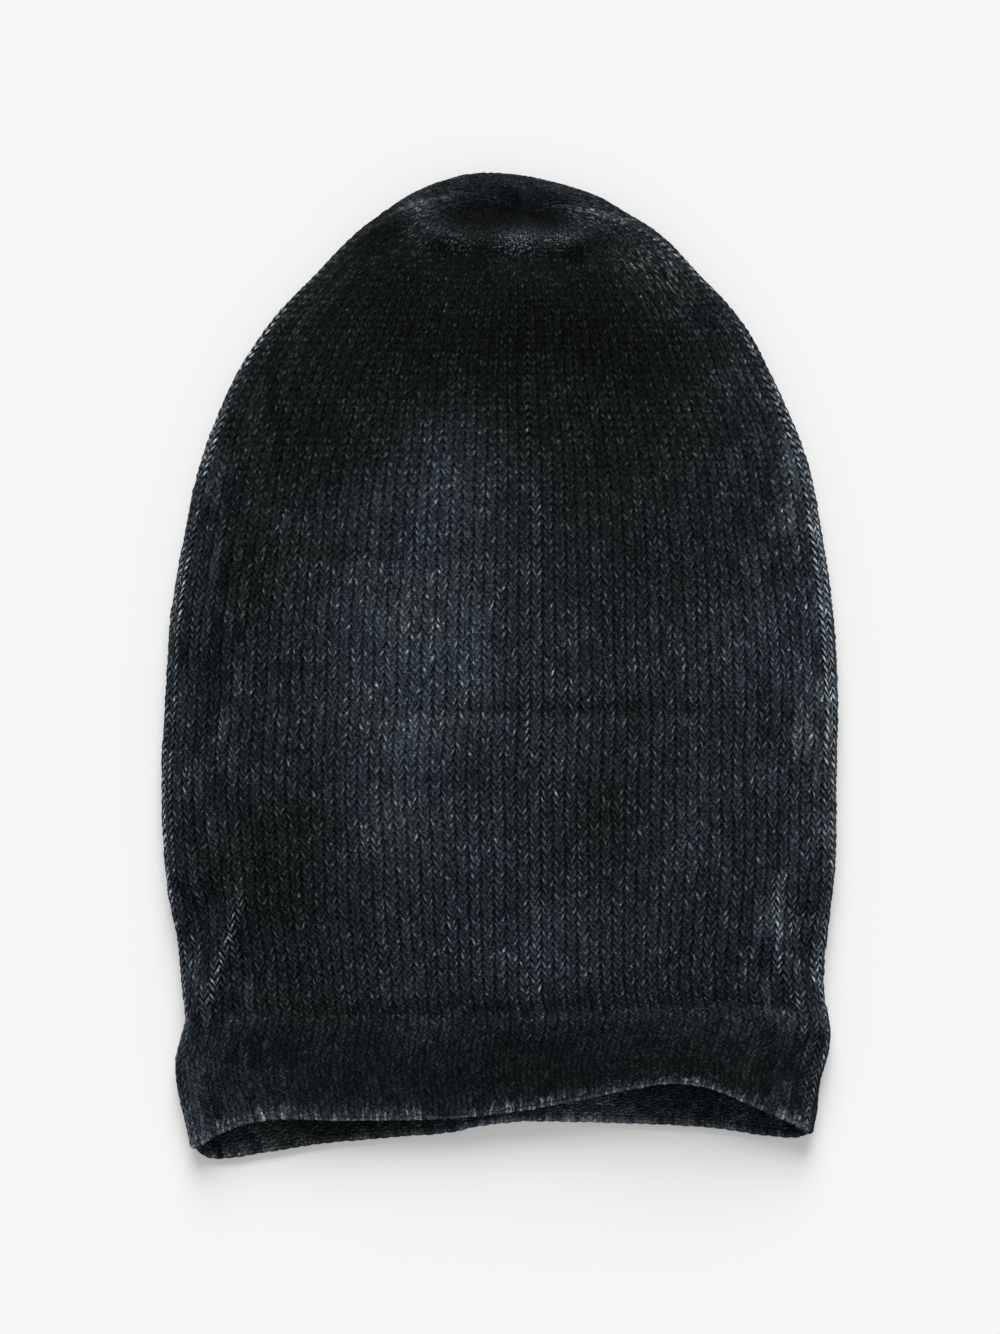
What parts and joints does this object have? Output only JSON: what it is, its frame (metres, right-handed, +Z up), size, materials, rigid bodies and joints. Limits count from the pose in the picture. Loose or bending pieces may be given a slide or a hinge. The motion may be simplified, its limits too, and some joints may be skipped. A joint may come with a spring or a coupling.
{
  "type": "slouchy knitted beanie",
  "caption": "Long slouchy knitted beanie lying flat, with a hem band, an open rim and a gathered crown.",
  "frame": {"origin": "middle of the hat's outline seen from above, on the surface that it lies on", "axes": "+X across the hat, +Y from the open rim to the gathered crown, +Z up from the surface that the back wall lies on"},
  "size_m": [0.2202, 0.3226, 0.0299],
  "materials": {
    "hem_knit": "dyed cotton stockinette, near black, matt",
    "body_knit": "dyed cotton stockinette, charcoal navy with paler washed patches, matt",
    "crown_knit": "dyed cotton stockinette, near black with a paler gathered ridge, matt"
  },
  "bodies": {
    "root": {"hem_band": "hem_knit", "knit_body": "body_knit", "crown_gather": "crown_knit"}
  },
  "joints": []
}
